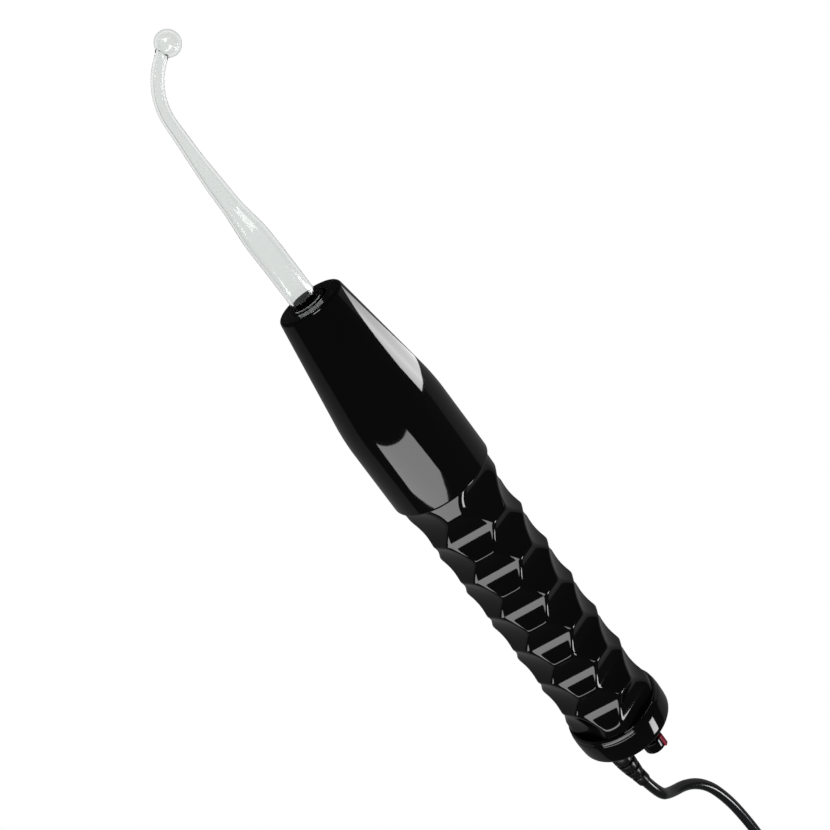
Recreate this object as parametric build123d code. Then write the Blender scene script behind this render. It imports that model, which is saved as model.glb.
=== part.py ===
"""Violet ray wand: a hand-held high-frequency generator with a plug-in glass electrode.

Millimetres. The wand lies on a flat surface along X, nose towards -X, and +Z is up. Handle pieces
are drawn with x counted from the nose face and z from the handle's axis. The lead is drawn with z
counted from the surface. Both are shifted to the middle of the object's box when they are written.
"""
import os
from math import acos, asin, atan2, cos, degrees, pi, radians, sin, sqrt, tan

from build123d import *

# Handle, outside
FACE_R = 14.3             # nose face, before its rim is rounded
CONE_END_X = 56.5
CONE_END_R = 22.75
SKIRT_END_X = 96.0
RIM_R = 23.2              # widest radius of skirt and end cap: the wand lies on these two
CONE_BLEND_R = 90.0
SHELL_WALL = 2.4
GRIP_R = 21.5
GRIP_BORE_R = 15.5
CAP_X = 241.0             # front edge of the end cap
CAP_LENGTH = 14.0
CAP_WALL = 3.5
CAP_ROUND = 2.0
SEAT_FIT = 0.05           # radial play where one moulding seats in another
SKIRT_SEAT = 18.0         # how far the grip enters the skirt
CAP_SEAT = 7.6            # how far the grip enters the cap

# Scalloped grip: eight rows of scoops, every second row moved by half a pitch
ROWS = 8
ROW_TURN = -14.0          # first row, degrees from straight up
SCOOP_PITCH = 21.5
SCOOPS = 6
FIRST_RIDGE_X = 106.0
SCOOP_FLOOR_R = 17.95     # nearest distance of a scoop from the axis
SCOOP_R = 20.4            # hollow of a scoop, along the grip

# Socket and electrode
SOCKET_Y = -1.1
GLASS_R = 5.75
GLASS_WALL = 1.0
GLASS_NECK_R = 5.0
ELECTRODE_DEPTH = 31.0
FERRULE_LENGTH = 14.5
FERRULE_R = 5.7
SLIDE_FIT = 0.08
SLEEVE_R = 8.6
SLEEVE_END_X = 36.0
COLLAR_R = 8.0
COLLAR_PROUD = 0.4
CUP_R = 6.7
CUP_FLANGE = 1.4
CUP_STUD_R = 1.5
CUP_STUD_LENGTH = 10.0
# Electrode beyond the face: distance from the face, sideways offset from the handle's axis, radius
GLASS_STATIONS = [
    (0.0, -1.1, 5.75), (33.0, -1.5, 5.6), (40.0, -1.7, 4.85), (46.5, -1.95, 4.1),
    (58.0, -2.15, 3.65), (69.0, -2.1, 3.05), (80.0, -1.75, 2.65), (84.3, -1.65, 2.55),
]
BEND_R = 26.3
BEND_TURN = 68.0
BALL_R = 5.0

# Resonator coil
BOBBIN_X = 48.0
BOBBIN_LENGTH = 98.0
BOBBIN_HUB_R = 5.0
BOBBIN_FLANGE = 2.0
SECTION_PITCH = 16.0
SECTIONS = 4
SECONDARY_R = 12.5
PRIMARY_R = 9.5

# Interrupter, on the knob's side of the handle
CHASSIS_TOP = -10.2
CHASSIS_THICK = 1.6
KNOB_Y = 5.4
KNOB_Z = 5.5
YOKE_X = 190.0
YOKE_LENGTH = 29.0
YOKE_WIDTH = 10.0
YOKE_THICK = 1.6
CORE_R = 2.5
CORE_Z = -1.0
WINDING_R = 6.1
REED_THICK = 0.4
REED_WIDTH = 5.0
POLE_GAP = 1.0
ARMATURE_THICK = 1.6
CONTACT_R = 1.25
CONTACT_THICK = 1.0
CONTACT_GAP = 0.6
POST_X = 223.0
POST_LENGTH = 5.0

# Regulator knob, its shaft and the contact screw
SCREW_R = 2.0
SCREW_LENGTH = 20.7
PIN_R = 0.5
SHAFT_R = 3.0
SHAFT_X = 233.5
KNOB_R = 5.5
KNOB_LENGTH = 6.0
KNOB_GAP = 10.0           # from the cap's rear face to the knob
POINTER_WIDTH = 2.4
POINTER_PROUD = 0.5
POINTER_TURN = 35.0       # degrees from +Y towards straight up
NUT_FLATS = 9.0
NUT_THICK = 1.6
RUN_FIT = 0.05

# Lead
CORD_D = 5.4
RELIEF_Y = -10.4
RELIEF_STRAIGHT = 10.0    # from the cap's rear face to where the relief starts to bend
RELIEF_BEND_R = 154.0
RELIEF_TURN = 8.76
RELIEF_RADII = [5.75, 5.55, 5.3, 4.95, 4.4, 3.6]
RELIEF_GROOVE = 1.0
RELIEF_NECK_R = 4.4
CLAMP_X = 240.0
CLAMP_LENGTH = 6.0
WIRE_R = 0.8

# Put-away coil of the lead
LAYER_TURNS = 3.25
TURN_PITCH = 5.95
COIL_OUTER_R = 40.1
COIL_X = 400.8
COIL_Y = -20.2
COIL_RAISE = 0.6          # the tie's strap passes under the coil
TIE_WIDTH = 7.0
TIE_THICK = 0.5
TIE_TURN = 70.0

# Plug with two round pins
PLUG_LENGTH = 30.0
PLUG_WIDTH = 26.0
PLUG_TAIL_WIDTH = 13.0
PLUG_THICK = 13.7
PLUG_SLEEVE = 14.0
PIN_SPACING = 18.6
PLUG_PIN_R = 2.0
PLUG_PIN_LENGTH = 19.0

# Sizes that follow from those above
CAP_END_X = CAP_X + CAP_LENGTH
CAP_INNER_X = CAP_END_X - CAP_WALL
SKIRT_SEAT_X = SKIRT_END_X - SKIRT_SEAT
GRIP_END_X = CAP_X + CAP_SEAT
SEAT_R = GRIP_R + SEAT_FIT
AXIS_H = RIM_R
CORD_R = CORD_D / 2
CORD_FLOOR = CORD_R + 0.1
COIL_FLOOR = CORD_R + COIL_RAISE
COIL_TOP = COIL_FLOOR + TURN_PITCH + CORD_R
COIL_INNER_R = COIL_OUTER_R - TURN_PITCH * LAYER_TURNS
LOOP_R = 20.0             # half width of the lead's last bend, over the coil
PLUG_X = COIL_X - 9.0
PLUG_Y = COIL_Y
PLUG_Z = COIL_TOP + 0.1 + PLUG_THICK / 2
BEND_X = -GLASS_STATIONS[-1][0]
BEND_Y = GLASS_STATIONS[-1][1]
TIP_X = BEND_X - BEND_R * sin(radians(BEND_TURN)) - BALL_R
RELIEF_BEND_X = CAP_END_X + RELIEF_STRAIGHT
RELIEF_LENGTH = RELIEF_STRAIGHT + RELIEF_BEND_R * radians(RELIEF_TURN)
RELIEF_TIP_X = RELIEF_BEND_X + RELIEF_BEND_R * sin(radians(RELIEF_TURN))
RELIEF_TIP_Y = RELIEF_Y + RELIEF_BEND_R * (1 - cos(radians(RELIEF_TURN)))

os.makedirs("parts", exist_ok=True)


def turned(points, y=0.0, z=0.0):
    """Solid of revolution about a line along X, from an outline of (x, radius) points."""
    return Pos(0, y, z) * revolve(make_face(Polyline(*points, close=True)), Axis.X)


def rod(x0, x1, radius, y=0.0, z=0.0):
    """Cylinder along X from x0 to x1."""
    return turned([(x0, 0), (x1, 0), (x1, radius), (x0, radius)], y, z)


def brick(x0, x1, y0, y1, z0, z1):
    """Box between two corners."""
    return Pos(x0, y0, z0) * Box(x1 - x0, y1 - y0, z1 - z0, align=(Align.MIN, Align.MIN, Align.MIN))


def hexagon(x0, x1, flats, y, z):
    """Six-sided bar along X."""
    side = Plane(origin=(x0, y, z), x_dir=(0, 1, 0), z_dir=(1, 0, 0))
    return extrude(side * RegularPolygon(flats / 2, 6, major_radius=False), x1 - x0)


def upright(x, y, z0, z1, radius):
    """Cylinder along Z."""
    return Pos(x, y, z0) * Cylinder(radius, z1 - z0, align=(Align.CENTER, Align.CENTER, Align.MIN))


def cone_radius(x):
    """Outer radius of the nose cone at a distance from the face."""
    return FACE_R + (CONE_END_R - FACE_R) * x / CONE_END_X


def shell_screw_places():
    """Each shell screw: x, outer radius there, turn about the handle's axis."""
    for turn in (-30.0, 30.0):
        yield SKIRT_SEAT_X + SKIRT_SEAT / 2, RIM_R - 0.25, turn
        yield CAP_X + CAP_SEAT / 2, RIM_R - 0.15, turn


def shell_screw(x, outer, turn, play=0.0):
    """Countersunk screw driven in from below, through a shell into the grip's wall."""
    head_r = 2.2 + play
    body_r = 1.2 + play
    points = [(0, 0), (head_r, 0), (head_r, 0.2), (body_r, 1.3), (body_r, 5.6), (0, 5.6)]
    screw = revolve(make_face(Polyline(*points, close=True)), Axis.Y)
    return Rot(turn, 0, 0) * Pos(x, 0, -outer) * Rot(90, 0, 0) * screw


def nose_cone():
    """Tapered front shell, its skirt, and the boss inside that holds the socket."""
    outline = Polyline((0, 0), (0, FACE_R), (CONE_END_X, CONE_END_R), (SKIRT_END_X, RIM_R), (SKIRT_END_X, 0),
                       close=True)
    body = revolve(make_face(outline), Axis.X)
    rims = body.edges().filter_by(GeomType.CIRCLE).sort_by(Axis.X)
    body = fillet(rims[1], CONE_BLEND_R)
    rims = body.edges().filter_by(GeomType.CIRCLE).sort_by(Axis.X)
    body = fillet(rims[0], 1.6)
    face_wall = 4.0
    room = turned([(face_wall, 0), (face_wall, cone_radius(face_wall) - SHELL_WALL),
                   (CONE_END_X, CONE_END_R - SHELL_WALL), (SKIRT_SEAT_X, CONE_END_R - SHELL_WALL),
                   (SKIRT_SEAT_X, SEAT_R), (SKIRT_END_X, SEAT_R), (SKIRT_END_X, 0)])
    body -= room
    rear = body.edges().filter_by(GeomType.CIRCLE).filter_by_position(Axis.X, SKIRT_END_X - 0.1, SKIRT_END_X + 0.1)
    body = fillet(rear.sort_by(SortBy.RADIUS)[-1], (RIM_R - SEAT_R) * 0.75)
    boss_r = SLEEVE_R + 1.9
    body += rod(1.0, 24.0, boss_r, SOCKET_Y) & rod(1.0, 24.0, FACE_R * 2)
    body -= rod(face_wall, 24.0, SLEEVE_R + SEAT_FIT, SOCKET_Y)
    body -= rod(-1.0, face_wall, COLLAR_R + SEAT_FIT, SOCKET_Y)
    for x, outer, turn in shell_screw_places():
        if x < SKIRT_END_X:
            body -= shell_screw(x, outer, turn, SEAT_FIT)
    return body


def grip():
    """Hand grip: a plain tube with eight rows of scoops, staggered into a net of hexagons."""
    body = rod(SKIRT_SEAT_X, GRIP_END_X, GRIP_R)
    scoop = Pos(0, 0, SCOOP_FLOOR_R + SCOOP_R) * Rot(90, 0, 0) * Cylinder(SCOOP_R, 4 * GRIP_R)
    cutters = []
    for row in range(ROWS):
        staggered = row % 2
        for place in range(SCOOPS + staggered):
            x = FIRST_RIDGE_X + SCOOP_PITCH * (place + 0.5 - 0.5 * staggered)
            cutters.append(Rot(-(ROW_TURN + 360.0 / ROWS * row), 0, 0) * Pos(x, 0, 0) * scoop)
    body -= cutters
    body -= rod(SKIRT_SEAT_X, GRIP_END_X, GRIP_BORE_R)
    for x, outer, turn in shell_screw_places():
        body -= shell_screw(x, outer, turn)
    return body


def end_cap():
    """Rear cap: a shallow barrel over the grip's end, with holes for the knob's bush and the lead."""
    lip_x = CAP_X + 2.0
    barrel = ThreePointArc((lip_x, RIM_R - 0.35), (lip_x + 4.0, RIM_R), (CAP_END_X, RIM_R - 0.8))
    edges = [Line((CAP_X, 0), (CAP_X, RIM_R - 0.8)), Line((CAP_X, RIM_R - 0.8), (lip_x, RIM_R - 0.35)), barrel,
             Line((CAP_END_X, RIM_R - 0.8), (CAP_END_X, 0)), Line((CAP_END_X, 0), (CAP_X, 0))]
    body = revolve(make_face(edges), Axis.X)
    rims = body.edges().filter_by(GeomType.CIRCLE).sort_by(Axis.X)
    body = fillet(rims[-1], CAP_ROUND)
    body -= turned([(CAP_X, 0), (CAP_X, SEAT_R), (GRIP_END_X, SEAT_R), (GRIP_END_X, GRIP_BORE_R + 3.0),
                    (CAP_INNER_X, GRIP_BORE_R + 3.0), (CAP_INNER_X, 0)])
    body -= rod(CAP_INNER_X, CAP_END_X, SHAFT_R + 1.0, KNOB_Y, KNOB_Z)
    body -= rod(CAP_INNER_X, CAP_END_X, RELIEF_NECK_R, RELIEF_Y)
    for x, outer, turn in shell_screw_places():
        if x > CAP_X:
            body -= shell_screw(x, outer, turn, SEAT_FIT)
    return body


def shell_screws():
    """The four countersunk screws that hold skirt and cap on the grip."""
    return Compound([shell_screw(*place) for place in shell_screw_places()])


def socket_collar():
    """Ring in the nose face, its flange held behind the face."""
    return turned([(-COLLAR_PROUD, GLASS_R + 0.25), (-COLLAR_PROUD, COLLAR_R - 0.4),
                   (0, COLLAR_R), (4.0, COLLAR_R), (4.0, SLEEVE_R), (6.0, SLEEVE_R), (6.0, GLASS_R + SLIDE_FIT)],
                  SOCKET_Y)


def socket_sleeve():
    """Insulating sleeve between the nose boss and the electrode."""
    guide_r = GLASS_R + SLIDE_FIT
    step_x = ELECTRODE_DEPTH - FERRULE_LENGTH - 2.5
    return turned([(6.0, guide_r), (6.0, SLEEVE_R), (SLEEVE_END_X, SLEEVE_R), (SLEEVE_END_X, CUP_R + SEAT_FIT),
                   (step_x, CUP_R + SEAT_FIT), (step_x, guide_r)], SOCKET_Y)


def contact_cup():
    """Brass cup with four spring fingers round the ferrule, and a stud for the coil."""
    mouth_x = ELECTRODE_DEPTH - FERRULE_LENGTH - 1.0
    floor_x = ELECTRODE_DEPTH + 0.1
    end_x = SLEEVE_END_X + CUP_FLANGE
    grip_r = FERRULE_R + RUN_FIT
    cup = turned([(mouth_x, grip_r), (mouth_x, CUP_R), (SLEEVE_END_X, CUP_R), (SLEEVE_END_X, SLEEVE_R),
                  (end_x, SLEEVE_R), (end_x, CUP_STUD_R), (end_x + CUP_STUD_LENGTH, CUP_STUD_R),
                  (end_x + CUP_STUD_LENGTH, 0), (floor_x, 0), (floor_x, grip_r)])
    for turn in (0, 90):
        cup -= Rot(turn, 0, 0) * brick(mouth_x, floor_x - 2.0, -CUP_R - 1, CUP_R + 1, -0.5, 0.5)
    return Pos(0, SOCKET_Y, 0) * cup


def glass_ring(station, shrink):
    """Circle of the electrode's wall, square to the tube, at one of its stations."""
    away, side, radius = station
    return Plane(origin=(-away, side, 0), z_dir=(-1, 0, 0)) * Circle(radius - shrink)


def glass_form(shrink):
    """Outer form of the electrode, or its hollow when it is shrunk by the wall."""
    neck_x = ELECTRODE_DEPTH - FERRULE_LENGTH
    neck_end = ELECTRODE_DEPTH - 1.4
    base = turned([(0, 0), (neck_x - 0.3, 0), (neck_x - 0.3, GLASS_R - shrink), (0, GLASS_R - shrink)], SOCKET_Y)
    base += rod(0, neck_end - shrink, GLASS_NECK_R - shrink, SOCKET_Y)
    stem = loft([glass_ring(station, shrink) for station in GLASS_STATIONS], ruled=True)
    turn = radians(BEND_TURN)
    end = (BEND_X - BEND_R * sin(turn), BEND_Y + BEND_R * (1 - cos(turn)))
    path = CenterArc((BEND_X, BEND_Y + BEND_R, 0), BEND_R, 270, -BEND_TURN)
    start_r = GLASS_STATIONS[-1][2] - shrink
    ring = Plane(origin=(BEND_X, BEND_Y, 0), z_dir=(-1, 0, 0)) * Circle(start_r)
    bend = sweep(ring, path=path)
    ball = Pos(end[0], end[1], 0) * Sphere(BALL_R - shrink)
    return base + stem + bend + ball


def glass_envelope():
    """Blown glass electrode: plain base, drawn-out stem, bent tip and ball end."""
    return glass_form(0.0) - glass_form(GLASS_WALL)


def electrode_ferrule():
    """Metal cap cemented on the electrode's neck."""
    x0 = ELECTRODE_DEPTH - FERRULE_LENGTH
    inner_r = GLASS_NECK_R + 0.02
    return turned([(x0, inner_r), (x0, FERRULE_R), (ELECTRODE_DEPTH - 0.8, FERRULE_R),
                   (ELECTRODE_DEPTH, FERRULE_R - 0.8), (ELECTRODE_DEPTH, 0), (ELECTRODE_DEPTH - 1.3, 0),
                   (ELECTRODE_DEPTH - 1.3, inner_r)], SOCKET_Y)


def flange_places():
    """Front x of each flange of the resonator bobbin."""
    places = [BOBBIN_X + SECTION_PITCH * i for i in range(SECTIONS + 1)]
    return places + [BOBBIN_X + BOBBIN_LENGTH - BOBBIN_FLANGE]


def coil_bobbin():
    """Sectioned former, seated on the cup's stud in front and in the grip's bore behind."""
    front_x = SLEEVE_END_X + CUP_FLANGE
    end_x = BOBBIN_X + BOBBIN_LENGTH
    body = rod(front_x, end_x, BOBBIN_HUB_R)
    for x in flange_places():
        body += rod(x, x + BOBBIN_FLANGE, GRIP_BORE_R - 0.1)
    return body - rod(front_x, front_x + CUP_STUD_LENGTH + 0.5, CUP_STUD_R + 0.02, SOCKET_Y)


def winding(x0, x1, inner_r, outer_r, y=0.0, z=0.0):
    """Ring of wound wire between two flanges."""
    return rod(x0, x1, outer_r, y, z) - rod(x0, x1, inner_r, y, z)


def secondary_winding():
    """Fine wire in its sections, one ring each."""
    places = flange_places()[:SECTIONS]
    return Compound([winding(x + BOBBIN_FLANGE, x + SECTION_PITCH, BOBBIN_HUB_R, SECONDARY_R) for x in places])


def primary_winding():
    """Heavy wire over the rear of the bobbin."""
    first, last = flange_places()[-2:]
    return winding(first + BOBBIN_FLANGE, last, BOBBIN_HUB_R, PRIMARY_R)


def chassis_width():
    """Half width of the board where its lower corners meet the grip's bore."""
    low = CHASSIS_TOP - CHASSIS_THICK
    return sqrt(GRIP_BORE_R ** 2 - low ** 2) - 0.1


def chassis_screw_places():
    """Each chassis screw: x, y."""
    return [(YOKE_X + 5.0, KNOB_Y), (YOKE_X + YOKE_LENGTH - 5.0, KNOB_Y), (POST_X + POST_LENGTH / 2, KNOB_Y),
            (217.0, -6.5)]


def chassis_screw(x, y, play=0.0):
    """Pan-head screw from under the board."""
    low = CHASSIS_TOP - CHASSIS_THICK
    body = upright(x, y, low - 1.2, CHASSIS_TOP + 1.2, 1.1 + play)
    return body + upright(x, y, low - 1.2, low, 1.8)


def chassis():
    """Fibre board across the grip's bore, held between the bobbin and the cap."""
    half = chassis_width()
    body = brick(BOBBIN_X + BOBBIN_LENGTH, GRIP_END_X - 0.3, -half, half, CHASSIS_TOP - CHASSIS_THICK, CHASSIS_TOP)
    for x, y in chassis_screw_places():
        body -= chassis_screw(x, y, SEAT_FIT)
    return body


def chassis_screws():
    """Screws of the yoke, the contact post and the terminal block."""
    return Compound([chassis_screw(x, y) for x, y in chassis_screw_places()])


def capacitor():
    """Round capacitor lying on the board."""
    radius = 5.5
    body = rod(160.0, 188.0, radius, 0.0, CHASSIS_TOP + radius)
    return chamfer(body.edges().filter_by(GeomType.CIRCLE), 0.8)


def reed_front_x():
    """Front face of the reed strip, which lies against the yoke's rear arm."""
    return YOKE_X + YOKE_LENGTH - YOKE_THICK - REED_THICK


def magnet_yoke():
    """Steel strip bent up at both ends: the core's wall in front, the reed's clamp behind."""
    y0, y1 = KNOB_Y - YOKE_WIDTH / 2, KNOB_Y + YOKE_WIDTH / 2
    rear_x = YOKE_X + YOKE_LENGTH
    body = brick(YOKE_X, rear_x, y0, y1, CHASSIS_TOP, CHASSIS_TOP + YOKE_THICK)
    body += brick(YOKE_X, YOKE_X + YOKE_THICK, y0, y1, CHASSIS_TOP, CORE_Z + 5.5)
    body += brick(rear_x - YOKE_THICK, rear_x, y0, y1, CHASSIS_TOP, CHASSIS_TOP + 5.6)
    body -= rod(YOKE_X, YOKE_X + YOKE_THICK, CORE_R - 1.0, KNOB_Y, CORE_Z)
    for x, y in chassis_screw_places()[:2]:
        body -= upright(x, y, CHASSIS_TOP, CHASSIS_TOP + 1.2, 1.1)
    return body


def pole_x():
    """Free end of the magnet's core."""
    return reed_front_x() - ARMATURE_THICK - POLE_GAP


def magnet_core():
    """Iron core riveted into the yoke's front wall."""
    return turned([(YOKE_X, 0), (pole_x(), 0), (pole_x(), CORE_R), (YOKE_X + YOKE_THICK, CORE_R),
                   (YOKE_X + YOKE_THICK, CORE_R - 1.0), (YOKE_X, CORE_R - 1.0)], KNOB_Y, CORE_Z)


def bobbin_span():
    """Front and rear of the magnet's bobbin."""
    return YOKE_X + YOKE_THICK, pole_x() - 1.4


def magnet_bobbin():
    """Flanged former on the core."""
    x0, x1 = bobbin_span()
    flange_r = WINDING_R + 0.5
    return turned([(x0, CORE_R), (x0, flange_r), (x0 + 1.2, flange_r), (x0 + 1.2, CORE_R + 0.9),
                   (x1 - 1.2, CORE_R + 0.9), (x1 - 1.2, flange_r), (x1, flange_r), (x1, CORE_R)], KNOB_Y, CORE_Z)


def magnet_winding():
    """Wire on the magnet's bobbin."""
    x0, x1 = bobbin_span()
    return winding(x0 + 1.2, x1 - 1.2, CORE_R + 0.9, WINDING_R, KNOB_Y, CORE_Z)


def reed():
    """Spring strip, clamped at its foot, with a hole for the contact's rivet."""
    x = reed_front_x()
    half = REED_WIDTH / 2
    return brick(x, x + REED_THICK, KNOB_Y - half, KNOB_Y + half, CHASSIS_TOP + YOKE_THICK + 0.2, KNOB_Z + 2.3)


def reed_armature():
    """Iron pad on the reed, in front of the core."""
    x = reed_front_x()
    return brick(x - ARMATURE_THICK, x, KNOB_Y - 3.2, KNOB_Y + 3.2, CORE_Z - 3.0, CORE_Z + 3.0)


def reed_contact():
    """Contact point on the back of the reed."""
    x = reed_front_x() + REED_THICK
    return rod(x, x + CONTACT_THICK, CONTACT_R, KNOB_Y, KNOB_Z)


def contact_post():
    """Bracket on the board that the contact screw is threaded through."""
    half = 3.2
    body = brick(POST_X, POST_X + POST_LENGTH, KNOB_Y - half, KNOB_Y + half, CHASSIS_TOP, KNOB_Z + half)
    body = fillet(body.edges().filter_by(Axis.X).group_by(Axis.Z)[-1], 2.0)
    body -= rod(POST_X, POST_X + POST_LENGTH, SCREW_R + RUN_FIT, KNOB_Y, KNOB_Z)
    x, y = chassis_screw_places()[2]
    return body - upright(x, y, CHASSIS_TOP, CHASSIS_TOP + 1.2, 1.1)


def screw_tip_x():
    """Front of the contact screw when the knob is turned off."""
    return reed_front_x() + REED_THICK + CONTACT_THICK + CONTACT_GAP


def drive_pin_x():
    """The cross pin, near the screw's rear end."""
    return screw_tip_x() + SCREW_LENGTH - 3.0


def contact_screw():
    """Adjusting screw with its contact point in front and a cross hole behind."""
    x0 = screw_tip_x()
    x1 = x0 + SCREW_LENGTH
    body = turned([(x0, 0), (x0, CONTACT_R), (x0 + CONTACT_THICK, CONTACT_R), (x0 + CONTACT_THICK + 0.7, SCREW_R),
                   (x1, SCREW_R), (x1, 0)], KNOB_Y, KNOB_Z)
    return body - upright(drive_pin_x(), KNOB_Y, KNOB_Z - SCREW_R - 1, KNOB_Z + SCREW_R + 1, PIN_R)


def drive_pin():
    """Cross pin that slides in the shaft's two slots."""
    return upright(drive_pin_x(), KNOB_Y, KNOB_Z - SHAFT_R + 0.1, KNOB_Z + SHAFT_R - 0.1, PIN_R)


def knob_shaft():
    """Hollow shaft, slotted for the drive pin."""
    bore_end = screw_tip_x() + SCREW_LENGTH + 0.6
    shaft_end = CAP_END_X + KNOB_GAP + KNOB_LENGTH - 2.0
    body = turned([(SHAFT_X, SCREW_R + RUN_FIT), (SHAFT_X, SHAFT_R), (shaft_end, SHAFT_R), (shaft_end, 0),
                   (bore_end, 0), (bore_end, SCREW_R + RUN_FIT)], KNOB_Y, KNOB_Z)
    slot = brick(drive_pin_x() - 1.6, drive_pin_x() + 1.0, KNOB_Y - PIN_R - RUN_FIT, KNOB_Y + PIN_R + RUN_FIT,
                 KNOB_Z - SHAFT_R - 1, KNOB_Z + SHAFT_R + 1)
    return body - slot


def shaft_bush():
    """Brass bush in the cap's rear wall, its flange inside."""
    bore = SHAFT_R + RUN_FIT
    outer = SHAFT_R + 1.0
    return turned([(CAP_INNER_X - 1.4, bore), (CAP_INNER_X - 1.4, outer + 1.3), (CAP_INNER_X, outer + 1.3),
                   (CAP_INNER_X, outer), (CAP_END_X + NUT_THICK + 0.4, outer), (CAP_END_X + NUT_THICK + 0.4, bore)],
                  KNOB_Y, KNOB_Z)


def bush_nut():
    """Hexagon nut on the bush, outside."""
    nut = hexagon(CAP_END_X, CAP_END_X + NUT_THICK, NUT_FLATS, KNOB_Y, KNOB_Z)
    return nut - rod(CAP_END_X, CAP_END_X + NUT_THICK, SHAFT_R + 1.0, KNOB_Y, KNOB_Z)


def pointer_bar(play=0.0):
    """Bar of the knob's index, from its skirt over the rear face, before the knob is cut for it."""
    x0 = CAP_END_X + KNOB_GAP
    half = POINTER_WIDTH / 2 + play
    bar = brick(x0 - play, x0 + KNOB_LENGTH + 0.3, KNOB_R - 1.4 - play, KNOB_R + POINTER_PROUD, -half, half)
    return Pos(0, KNOB_Y, KNOB_Z) * Rot(POINTER_TURN, 0, 0) * bar


def knob():
    """Round knob, slightly tapered, with a groove for the red index."""
    x0 = CAP_END_X + KNOB_GAP
    x1 = x0 + KNOB_LENGTH
    body = turned([(x0, 0), (x0, KNOB_R), (x1, KNOB_R - 0.25), (x1, 0)])
    body = fillet(body.edges().filter_by(GeomType.CIRCLE).sort_by(Axis.X)[-1], 0.7)
    body = Pos(0, KNOB_Y, KNOB_Z) * body
    body -= rod(x0, x1 - 2.0, SHAFT_R, KNOB_Y, KNOB_Z)
    return body - pointer_bar()


def knob_pointer():
    """Red index piece, pressed into the knob's groove."""
    return pointer_bar()


def relief_path():
    """Line of the lead inside the relief: straight at first, then gently bent."""
    start = Vector(CAP_END_X, RELIEF_Y, 0)
    bend = Vector(RELIEF_BEND_X, RELIEF_Y, 0)
    arc = CenterArc((RELIEF_BEND_X, RELIEF_Y + RELIEF_BEND_R, 0), RELIEF_BEND_R, 270, RELIEF_TURN)
    return Wire([Line(start, bend), arc])


def relief_plane(along):
    """Plane square to the relief at a distance from the cap's rear face."""
    path = relief_path()
    share = along / path.length
    return Plane(origin=path @ share, x_dir=(0, 0, 1), z_dir=path % share)


def strain_relief():
    """Relief of tapering rings on a thinner neck, anchored by a flange behind the cap's wall."""
    pitch = RELIEF_LENGTH / len(RELIEF_RADII)
    neck_r = RELIEF_NECK_R
    body = rod(CAP_INNER_X - 1.4, CAP_INNER_X, neck_r + 1.8, RELIEF_Y)
    body += rod(CAP_INNER_X, CAP_END_X, neck_r, RELIEF_Y)
    body += rod(CAP_END_X, RELIEF_BEND_X, neck_r, RELIEF_Y)
    last = RELIEF_LENGTH - 0.5
    bands = [relief_plane(along) * Circle(radius) for along, radius in ((RELIEF_STRAIGHT, neck_r), (last, 3.2))]
    body += loft(bands)
    ends = RELIEF_RADII[1:] + [3.35]
    for ring, (front, rear) in enumerate(zip(RELIEF_RADII, ends)):
        length = pitch - (RELIEF_GROOVE if ring < len(RELIEF_RADII) - 1 else 0.3)
        cone = Cone(front, rear + 0.15, length, align=(Align.CENTER, Align.CENTER, Align.MIN))
        body += relief_plane(ring * pitch) * cone
    body += rod(CAP_END_X, CAP_END_X + 1.2, 6.0, RELIEF_Y)
    bore = CORD_R + SEAT_FIT
    body -= rod(CAP_INNER_X - 5.0, CAP_END_X + 0.1, bore, RELIEF_Y)
    return body - sweep(relief_plane(0) * Circle(bore), path=relief_path())


def cord_exit():
    """Point where the lead leaves the relief, above the surface."""
    return Vector(RELIEF_TIP_X, RELIEF_TIP_Y, AXIS_H)


def cord_entry():
    """Stretch of the lead from the clamp through the relief."""
    straight = rod(CLAMP_X - 0.5, CAP_END_X, CORD_R, RELIEF_Y)
    return straight + sweep(relief_plane(0) * Circle(CORD_R), path=relief_path())


def cord_clamp():
    """Saddle on the board that holds the lead."""
    half = CORD_R + 2.2
    block = brick(CLAMP_X, CLAMP_X + CLAMP_LENGTH, RELIEF_Y - half, RELIEF_Y + half, CHASSIS_TOP, half)
    block &= rod(CLAMP_X, CLAMP_X + CLAMP_LENGTH, GRIP_BORE_R - 0.15)
    return block - rod(CLAMP_X, CLAMP_X + CLAMP_LENGTH, CORD_R, RELIEF_Y)


def terminal_block():
    """Small moulded block with two wire holes."""
    body = brick(210.0, 224.0, -10.4, -2.6, CHASSIS_TOP, -3.2)
    body = chamfer(body.edges().filter_by(Axis.X).group_by(Axis.Z)[-1], 0.8)
    for y in (-8.6, -4.4):
        body -= rod(210.0, 224.0, WIRE_R, y, -6.2)
        body -= upright(217.0, y, -5.0, -3.2, 1.3)
    return body - upright(217.0, -6.5, CHASSIS_TOP, CHASSIS_TOP + 1.2, 1.1)


def wire(points, radius=WIRE_R):
    """Insulated wire along straight runs joined by arcs."""
    radii = run_radii([Vector(*p) for p in points])
    path = FilletPolyline(*points, radius=radii) if radii else Line(*points)
    start = Plane(origin=path @ 0, z_dir=path % 0)
    return sweep(start * Circle(radius), path=path)


def run_radii(points):
    """Radius of the arc at each inner point, as large as its two runs allow."""
    radii = []
    for before, here, after in zip(points, points[1:], points[2:]):
        first, second = here - before, after - here
        turn = radians(first.get_angle(second))
        radii.append(0.45 * min(first.length, second.length) / tan(turn / 2))
    return radii


def supply_leads():
    """Two cores of the lead, from the clamp to the terminals."""
    x0 = CLAMP_X - 0.5
    outer = wire([(x0, RELIEF_Y - 1.1, 0.0), (x0 - 3.5, RELIEF_Y - 1.1, 0.0), (x0 - 9.0, -8.6, -6.2),
                  (220.0, -8.6, -6.2)])
    inner = wire([(x0, RELIEF_Y + 1.1, 0.0), (x0 - 3.5, RELIEF_Y + 1.1, 0.0), (x0 - 9.0, -4.4, -6.2),
                  (220.0, -4.4, -6.2)])
    return Compound([outer, inner])


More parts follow.
